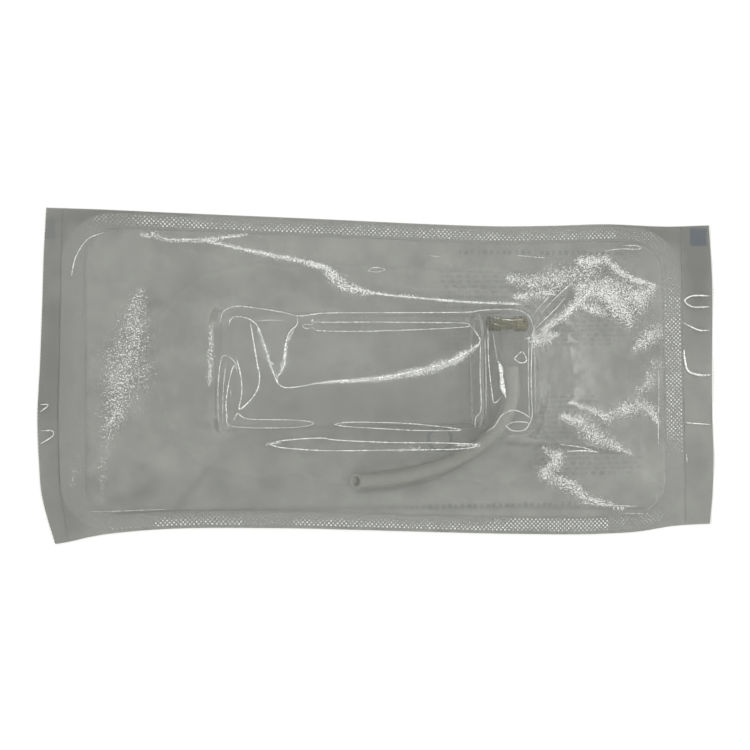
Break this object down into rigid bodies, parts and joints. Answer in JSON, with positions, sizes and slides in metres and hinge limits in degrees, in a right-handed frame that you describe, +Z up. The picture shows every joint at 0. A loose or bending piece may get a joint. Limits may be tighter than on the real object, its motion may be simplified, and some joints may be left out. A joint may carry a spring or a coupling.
{
  "type": "sterile suction reservoir pouch",
  "caption": "Clear flat suction reservoir with end cap, amber elbow and short tube, sealed between a formed clear film and printed paper in a sterile peel pouch.",
  "frame": {"origin": "middle of the paper's underside, which is the middle of the bottom of the part's box", "axes": "+X along the pouch towards its wide opening tab, +Y across the pouch towards the side that the amber elbow is on, +Z up through the clear film"},
  "size_m": [0.296, 0.138, 0.0254],
  "materials": {
    "backing_paper": "matt coated medical paper with faint mottling and pale blue-grey print dashes",
    "seal_coating": "matt, knurled by the sealing tool",
    "clear_film": "clear and glossy, finely embossed where it was not stretched",
    "clear_shell": "clear and glossy",
    "silicone": "translucent satin silicone",
    "amber_plastic": "translucent olive amber, satin",
    "soft_tube": "translucent flexible tube, satin"
  },
  "bodies": {
    "root": {"backing_paper": "backing_paper", "seal_coating": "seal_coating", "film_seal_strip": "clear_film", "reservoir_body": "clear_shell", "base_cap": "clear_shell", "mouth_gasket": "silicone", "end_cap": "clear_shell", "flap_bar": "clear_shell", "elbow_connector": "amber_plastic", "funnel_connector": "clear_shell", "connecting_tube": "soft_tube"},
    "film_lid": {"film_lid": "clear_film"},
    "film_tab_right": {"film_tab_right": "clear_film"},
    "film_tab_left": {"film_tab_left": "clear_film"},
    "paper_tab_right": {"paper_tab_right": "backing_paper"},
    "paper_tab_left": {"paper_tab_left": "backing_paper"},
    "valve_flap": {"valve_flap": "silicone"}
  },
  "joints": [
    {"name": "film_peel", "type": "hinge", "parent": "root", "child": "film_lid", "pos_m": [-0.132, 0, 0.0009], "axis": [0, -1, 0], "range_deg": [0, 100]},
    {"name": "film_tab_right_fold", "type": "hinge", "parent": "film_lid", "child": "film_tab_right", "pos_m": [0.135, 0, 0.0009], "axis": [0, -1, 0], "range_deg": [0, 120], "stiffness_Nm_per_rad": 0.0005},
    {"name": "film_tab_left_fold", "type": "hinge", "parent": "root", "child": "film_tab_left", "pos_m": [-0.141, 0, 0.0009], "axis": [0, 1, 0], "range_deg": [0, 80], "stiffness_Nm_per_rad": 0.0005},
    {"name": "paper_tab_right_fold", "type": "hinge", "parent": "root", "child": "paper_tab_right", "pos_m": [0.135, 0, 0], "axis": [0, 1, 0], "range_deg": [0, 80], "stiffness_Nm_per_rad": 0.0005},
    {"name": "paper_tab_left_fold", "type": "hinge", "parent": "root", "child": "paper_tab_left", "pos_m": [-0.141, 0, 0], "axis": [0, -1, 0], "range_deg": [0, 80], "stiffness_Nm_per_rad": 0.0005},
    {"name": "valve_flap_swing", "type": "hinge", "parent": "root", "child": "valve_flap", "pos_m": [0.0359, 0.0183, 0.0126], "axis": [0, 0, 1], "range_deg": [0, 35], "stiffness_Nm_per_rad": 0.0001}
  ]
}
